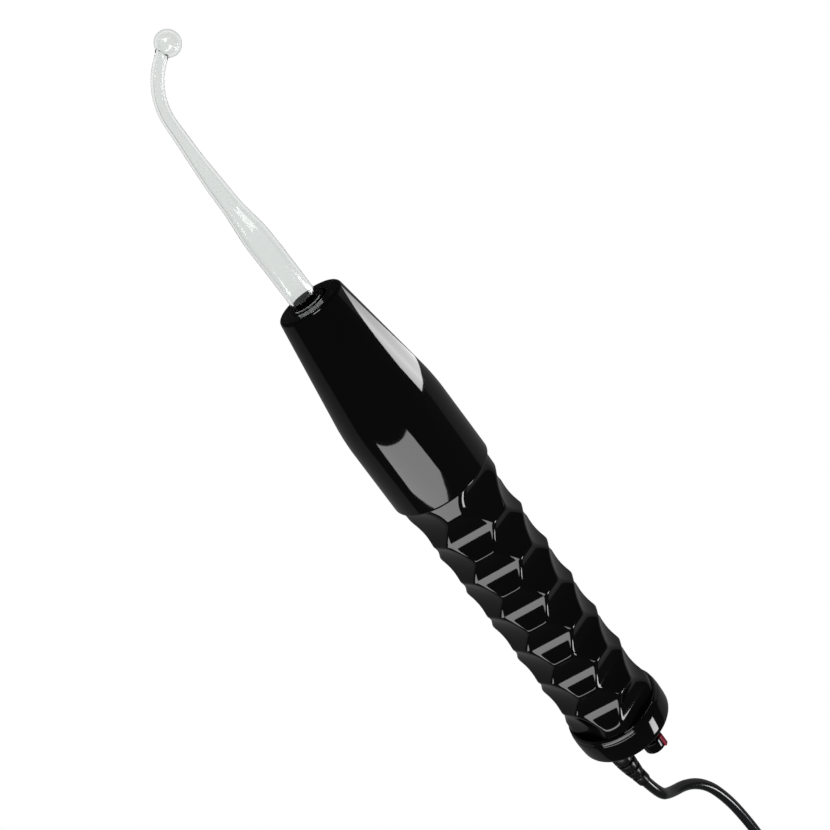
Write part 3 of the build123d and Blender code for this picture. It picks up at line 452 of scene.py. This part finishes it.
def slotted_head(form, place, out, radius, height, slot_width):
    """Low domed screw head with a slot along the handle, pointing out of the surface."""
    upright = out.to_track_quat("Z", "X").to_matrix().to_4x4()
    seat = Matrix.Translation(place) @ upright
    head = bmesh.new()
    bmesh.ops.create_cone(head, cap_ends=True, segments=40, radius1=radius, radius2=radius * 0.86,
                          depth=height)
    for slot_side in (-slot_width / 2, slot_width / 2):
        bmesh.ops.bisect_plane(head, geom=head.verts[:] + head.edges[:] + head.faces[:], dist=1e-7,
                               plane_co=(0.0, slot_side, 0.0), plane_no=(0.0, 1.0, 0.0))
    head.faces.ensure_lookup_table()
    floor = [face for face in head.faces
             if face.normal.z > 0.9 and abs(face.calc_center_median().y) < slot_width / 2]
    sunk = bmesh.ops.extrude_face_region(head, geom=floor)
    bmesh.ops.delete(head, geom=floor, context="FACES")
    bmesh.ops.translate(head, vec=(0.0, 0.0, -height * 0.7),
                        verts=[item for item in sunk["geom"] if isinstance(item, bmesh.types.BMVert)])
    bmesh.ops.transform(head, matrix=seat, verts=head.verts[:])
    copied = bpy.data.meshes.new("head_copy")
    head.to_mesh(copied)
    head.free()
    form.from_mesh(copied)
    bpy.data.meshes.remove(copied)


screw_form = bmesh.new()
for screw_turn in (-30.0, 30.0):
    for screw_x, screw_r in ((0.087, 0.02295), (0.2448, 0.02305)):
        out = Vector((0.0, sin(radians(screw_turn)), -cos(radians(screw_turn))))
        place = Vector((FACE_X + screw_x, 0.0, AXIS_Z)) + out * (screw_r - 0.0002)
        slotted_head(screw_form, place, out, 0.0022, 0.0008, 0.0006)
shell_screws = made(screw_form, "shell_screw_heads", 30.0)
dress(shell_screws, turned_steel, "handle", ["shell_screws"])


# Socket. A black collar ring closes the hole in the nose face. Behind it an insulating sleeve and a
# slotted brass cup take the base of the electrode.
collar_form = ring_form([(-0.0004, 0.0060), (-0.0004, 0.0080), (FACE_WALL, 0.0080), (FACE_WALL, 0.0086),
                         (0.006, 0.0086), (0.006, 0.00583)], y=SOCKET_Y)
soften(collar_form, [(0, 0.0003, 3), (1, 0.0004, 4)])
socket_collar = spun(collar_form, "socket_ring", y=SOCKET_Y, segments=96)
dress(socket_collar, polished_phenolic, "handle", ["socket_collar"])


def paint(material, *names):
    """Gives CAD nodes, whose shapes are right as they are, a finished material."""
    for name in names:
        mesh = nodes[name].data
        mesh.materials.clear()
        mesh.materials.append(material)


waxed_fibre, fibre_shader = finish("waxed_fibre", (0.19, 0.085, 0.04), 0.55)
grain(waxed_fibre, fibre_shader, 1200.0, 0.00004, roughness=(0.45, 0.65), stretch=(1.0, 6.0, 6.0))
paint(waxed_fibre, "socket_sleeve", "coil_bobbin", "chassis", "magnet_bobbin")
plain_brass, brass_shader = finish("plain_brass", (0.72, 0.53, 0.25), 0.28)
brass_shader.inputs["Metallic"].default_value = 1.0
grain(plain_brass, brass_shader, 1800.0, 0.00001, roughness=(0.2, 0.38), stretch=(1.0, 5.0, 5.0))
paint(plain_brass, "contact_cup", "contact_post", "contact_screw", "plug_pins")


# Electrode. A blown glass tube: a plain base, a stem drawn out thin, a bend near the tip and a
# hollow ball at the end. Its metal cap is cemented on the necked base. The line of the glass gives
# each station's distance from the face, its offset to the side and its radius.
BASE_R = 0.00575
NECK_R = 0.005
STEM_R = 0.00255
STRAIGHT_END = 0.0843
BEND_Y = -0.00165
BEND_R = 0.0263
BEND_TURN = radians(68.0)
GLASS_LINE = [(0.0, SOCKET_Y, BASE_R), (0.016, -0.0012, BASE_R), (0.033, -0.0015, 0.0056),
              (0.040, -0.0017, 0.00485), (0.0465, -0.00195, 0.0041), (0.058, -0.00215, 0.00365),
              (0.069, -0.0021, 0.00305), (0.0800, -0.00175, 0.00265), (STRAIGHT_END, BEND_Y, STEM_R)]
BALL_R = 0.005
GLASS_WALL = 0.001


def glass_line(away):
    """Sideways offset and radius of the straight part of the glass, smoothly between its stations."""
    for index in range(len(GLASS_LINE) - 1):
        if away <= GLASS_LINE[index + 1][0]:
            break
    before = GLASS_LINE[max(index - 1, 0)]
    start, end = GLASS_LINE[index], GLASS_LINE[index + 1]
    after = GLASS_LINE[min(index + 2, len(GLASS_LINE) - 1)]
    share = (away - start[0]) / (end[0] - start[0])
    found = []
    for item in (1, 2):
        run = end[0] - start[0]
        lead_in = (end[item] - before[item]) / max(end[0] - before[0], 1e-6) * run
        lead_out = (after[item] - start[item]) / max(after[0] - start[0], 1e-6) * run
        square, cube = share ** 2, share ** 3
        found.append(start[item] * (2 * cube - 3 * square + 1) + end[item] * (3 * square - 2 * cube)
                     + lead_in * (cube - 2 * square + share) + lead_out * (cube - square))
    return found


def glass_rings(shrink):
    """Rings of the glass from the closed neck to the ball's tip: centre, direction and radius."""
    rings = []
    noseward = Vector((-1.0, 0.0, 0.0))
    neck_end = 0.0296 - shrink
    for away, radius in ((-neck_end, 0.0012), (-neck_end + 0.0003, 0.0028), (-neck_end + 0.0012, 0.0044),
                         (-neck_end + 0.0026, NECK_R), (-0.0172, NECK_R), (-0.0164, 0.0054),
                         (-0.0152, BASE_R), (-0.008, BASE_R)):
        centre = Vector((FACE_X - away, SOCKET_Y, AXIS_Z))
        rings.append((centre, noseward, radius - min(shrink, radius * 0.6)))
    steps = 46
    for step in range(steps):
        away = STRAIGHT_END * step / steps
        side, radius = glass_line(away)
        rings.append((Vector((FACE_X - away, side, AXIS_Z)), noseward, radius - shrink))
    bend_steps = 26
    for step in range(bend_steps + 1):
        turned = BEND_TURN * step / bend_steps
        ahead = Vector((-cos(turned), sin(turned), 0.0))
        centre = Vector((FACE_X - STRAIGHT_END - BEND_R * sin(turned), BEND_Y + BEND_R * (1 - cos(turned)),
                         AXIS_Z))
        if BEND_R * (BEND_TURN - turned) > BALL_R * 0.98:
            rings.append((centre, ahead, STEM_R - 0.00015 * step / bend_steps - shrink))
    radius = BALL_R - shrink
    first = acos(min(1.0, (0.0024 - shrink) * 1.12 / radius))
    for step in range(22):
        lean = first - (first + pi / 2) * step / 22
        rings.append((centre - ahead * radius * sin(lean), ahead, radius * cos(lean)))
    return rings


def blown(form, rings):
    """Skins rings into one closed tube."""
    before = None
    for centre, direction, radius in rings:
        seat = Matrix.Translation(centre) @ direction.to_track_quat("Z", "Y").to_matrix().to_4x4()
        ring = bmesh.ops.create_circle(form, segments=64, radius=radius, matrix=seat)["verts"]
        edges = list({edge for vertex in ring for edge in vertex.link_edges})
        if before:
            bmesh.ops.bridge_loops(form, edges=before + edges)
        else:
            bmesh.ops.contextual_create(form, geom=edges)
        before = edges
    bmesh.ops.contextual_create(form, geom=before)


glass_form = bmesh.new()
blown(glass_form, glass_rings(0.0))
bmesh.ops.recalc_face_normals(glass_form, faces=glass_form.faces[:])
outer_faces = set(glass_form.faces)
blown(glass_form, glass_rings(GLASS_WALL))
inner_faces = [face for face in glass_form.faces if face not in outer_faces]
bmesh.ops.recalc_face_normals(glass_form, faces=inner_faces)
bmesh.ops.reverse_faces(glass_form, faces=inner_faces)
glass_mesh = bpy.data.meshes.new("blown_electrode")
glass_form.to_mesh(glass_mesh)
glass_form.free()
for face in glass_mesh.polygons:
    face.use_smooth = True
blown_electrode = bpy.data.objects.new("blown_electrode", glass_mesh)
bpy.context.scene.collection.objects.link(blown_electrode)
clear_glass, glass_shader = finish("clear_glass", (0.84, 0.86, 0.85), 0.0)
glass_shader.inputs["Transmission Weight"].default_value = 1.0
glass_shader.inputs["IOR"].default_value = 1.47
grain(clear_glass, glass_shader, 60.0, 0.00002, detail=0.0, stretch=(0.35, 1.0, 1.0))
dress(blown_electrode, clear_glass, "electrode", ["glass_envelope"])
cap_metal, cap_metal_shader = finish("cap_metal", (0.66, 0.66, 0.66), 0.22)
cap_metal_shader.inputs["Metallic"].default_value = 1.0
grain(cap_metal, cap_metal_shader, 1500.0, 0.00001, roughness=(0.16, 0.32))
paint(cap_metal, "electrode_ferrule")


# Regulator. A small black knob on a polished steel shaft, which turns in a nutted bush in the cap.
# A crimson index piece is let into its rim and rear face.
KNOB_Y = 0.0054
KNOB_Z = AXIS_Z + 0.0055
KNOB_FRONT = 0.265
KNOB_REAR = 0.271
KNOB_R = 0.0055
knob_form = ring_form([(KNOB_FRONT, 0.0), (KNOB_FRONT, KNOB_R), (KNOB_REAR, 0.00525), (KNOB_REAR, 0.0)],
                      y=KNOB_Y, z=KNOB_Z)
soften(knob_form, [(1, 0.0003, 3), (2, 0.0007, 6)])
regulator_knob = spun(knob_form, "regulator_knob", y=KNOB_Y, z=KNOB_Z, segments=96)
dress(regulator_knob, polished_phenolic, "regulator", ["knob"])
bright_steel, bright_shader = finish("bright_steel", (0.8, 0.8, 0.8), 0.12)
bright_shader.inputs["Metallic"].default_value = 1.0
grain(bright_steel, bright_shader, 1500.0, 0.000005, roughness=(0.08, 0.2))
paint(bright_steel, "knob_shaft", "shaft_bush", "bush_nut", "reed_contact", "drive_pin")
index_form = bmesh.new()
bmesh.ops.create_cube(index_form, size=1.0)
bmesh.ops.scale(index_form, vec=(0.0064, 0.0019, 0.0024), verts=index_form.verts[:])
bmesh.ops.bevel(index_form, geom=index_form.edges[:], offset=0.0003, offset_type="OFFSET", segments=3,
                profile=0.5, affect="EDGES", material=-1)
bmesh.ops.translate(index_form, vec=(FACE_X + 0.2681, KNOB_R - 0.00045, 0.0), verts=index_form.verts[:])
bmesh.ops.rotate(index_form, cent=(0.0, 0.0, 0.0), matrix=Matrix.Rotation(radians(35.0), 3, "X"),
                 verts=index_form.verts[:])
bmesh.ops.translate(index_form, vec=(0.0, KNOB_Y, KNOB_Z), verts=index_form.verts[:])
index_piece = made(index_form, "index_piece")
crimson, crimson_shader = finish("crimson", (0.42, 0.008, 0.04), 0.3)
grain(crimson, crimson_shader, 1500.0, 0.00001, roughness=(0.25, 0.4))
dress(index_piece, crimson, "regulator", ["knob_pointer"])


# Strain relief. A black rubber moulding of tapering rings on a thinner neck, bent a little by the
# pull of the lead, which comes out of its end.
RELIEF_Y = -0.0104
RELIEF_BEND_X = 0.265
RELIEF_BEND_R = 0.154
RELIEF_RINGS = 6
RELIEF_BORE_R = 0.00275
FLANGE_R = 0.0062
RELIEF_NECK_R = 0.0044
relief_length = 0.010 + RELIEF_BEND_R * radians(8.76)
ring_pitch = relief_length / RELIEF_RINGS
relief_outline = [(0.250, RELIEF_BORE_R), (0.250, FLANGE_R), (CAP_FLOOR, FLANGE_R),
                  (CAP_FLOOR, RELIEF_NECK_R), (0.2551, RELIEF_NECK_R), (0.2551, 0.0060)]
ring_radii = [0.00575, 0.00555, 0.0053, 0.00495, 0.0044, 0.0036, 0.00325]
for ring in range(RELIEF_RINGS):
    last = ring == RELIEF_RINGS - 1
    ring_front = CAP_REAR + ring * ring_pitch
    ring_rear = ring_front + ring_pitch - (0.0003 if last else 0.001)
    rear_r = ring_radii[ring + 1]
    if ring:
        relief_outline += [(ring_front, ring_radii[ring] - 0.0007), (ring_front + 0.00005, ring_radii[ring])]
    relief_outline += [(ring_rear - 0.0003, rear_r + 0.00012), (ring_rear, rear_r - 0.0001)]
    if not last:
        relief_outline.append((ring_rear + 0.0002, rear_r - 0.0010))
relief_outline.append((CAP_REAR + relief_length - 0.0003, RELIEF_BORE_R))
relief_form = ring_form(relief_outline, y=0.0, z=0.0)
bmesh.ops.bevel(relief_form, geom=[vertex for vertex in relief_form.verts if vertex.co.x - FACE_X > 0.2552],
                offset=0.0002, offset_type="OFFSET", segments=2, profile=0.5, affect="VERTICES", material=-1)
bmesh.ops.spin(relief_form, geom=relief_form.verts[:] + relief_form.edges[:], cent=(0.0, 0.0, 0.0),
               axis=(1.0, 0.0, 0.0), angle=2 * pi, steps=72, use_merge=True)
for vertex in relief_form.verts:
    x, across, up = vertex.co.x - FACE_X, vertex.co.y, vertex.co.z
    bent = max(x - RELIEF_BEND_X, 0.0) / RELIEF_BEND_R
    vertex.co = (FACE_X + min(x, RELIEF_BEND_X) + (RELIEF_BEND_R - across) * sin(bent),
                 RELIEF_Y + RELIEF_BEND_R - (RELIEF_BEND_R - across) * cos(bent), AXIS_Z + up)
ringed_relief = made(relief_form, "ringed_relief", 50.0)
soft_rubber, soft_rubber_shader = finish("soft_rubber", (0.008, 0.008, 0.009), 0.22)
grain(soft_rubber, soft_rubber_shader, 700.0, 0.00004, roughness=(0.18, 0.32))
dress(ringed_relief, soft_rubber, "handle", ["strain_relief"])
paint(rubber_sheath, "cord_entry")


# Resonator coil. Fine enamelled wire in four sections and a heavier primary, on a waxed fibre
# former that runs down the middle of the grip.
def wound(name, colour, wires_per_metre):
    """Enamelled wire finish, its turns drawn as bands of bump along the handle."""
    material, shader = finish(name, colour, 0.35)
    shader.inputs["Metallic"].default_value = 0.6
    tree = material.node_tree
    place = tree.nodes.new("ShaderNodeTexCoord")
    wave = tree.nodes.new("ShaderNodeTexWave")
    wave.wave_type = "BANDS"
    wave.bands_direction = "X"
    wave.inputs["Scale"].default_value = wires_per_metre / 2
    wave.inputs["Distortion"].default_value = 0.4
    bump = tree.nodes.new("ShaderNodeBump")
    bump.inputs["Distance"].default_value = 0.0001
    tree.links.new(place.outputs["Object"], wave.inputs["Vector"])
    tree.links.new(wave.outputs["Fac"], bump.inputs["Height"])
    tree.links.new(bump.outputs["Normal"], shader.inputs["Normal"])
    return material


paint(wound("fine_winding", (0.3, 0.1, 0.05), 900.0), "secondary_winding")
paint(wound("heavy_winding", (0.55, 0.24, 0.11), 300.0), "primary_winding", "magnet_winding")


# Interrupter. Soft iron yoke, core and armature, with a spring steel reed, on the fibre board.
soft_iron, iron_shader = finish("soft_iron", (0.2, 0.2, 0.21), 0.45)
iron_shader.inputs["Metallic"].default_value = 1.0
grain(soft_iron, iron_shader, 1500.0, 0.00003, roughness=(0.35, 0.6))
paint(soft_iron, "magnet_yoke", "magnet_core", "reed_armature")
spring_steel, spring_shader = finish("spring_steel", (0.5, 0.5, 0.53), 0.25)
spring_shader.inputs["Metallic"].default_value = 1.0
grain(spring_steel, spring_shader, 2500.0, 0.000004, roughness=(0.2, 0.34), stretch=(6.0, 1.0, 1.0))
paint(spring_steel, "reed", "chassis_screws")


# Wiring. A waxed-paper capacitor, a moulded terminal block and lead clamp, and cotton and rubber
# covered wires between them.
waxed_paper, paper_shader = finish("waxed_paper", (0.42, 0.33, 0.17), 0.5)
grain(waxed_paper, paper_shader, 700.0, 0.00005, roughness=(0.4, 0.6))
paint(waxed_paper, "capacitor")
moulding, moulding_shader = finish("inner_moulding", (0.01, 0.01, 0.011), 0.3)
grain(moulding, moulding_shader, 900.0, 0.00003, roughness=(0.25, 0.4))
paint(moulding, "terminal_block", "cord_clamp")
red_cover, red_cover_shader = finish("wire_cover", (0.25, 0.03, 0.025), 0.6)
grain(red_cover, red_cover_shader, 2500.0, 0.00004, roughness=(0.5, 0.7))
paint(red_cover, "supply_leads", "link_wires")


# Plug. A flat two-pin moulding, drawn in where the fingers hold it.
plug_phenolic, plug_shader = finish("plug_phenolic", (0.006, 0.006, 0.007), 0.2)
grain(plug_phenolic, plug_shader, 500.0, 0.00002, roughness=(0.15, 0.3))
paint(plug_phenolic, "plug_body")
woven_strap, strap_shader = finish("woven_strap", (0.012, 0.012, 0.013), 0.8)
grain(woven_strap, strap_shader, 1500.0, 0.0001, roughness=(0.7, 0.9))
paint(woven_strap, "coil_tie")
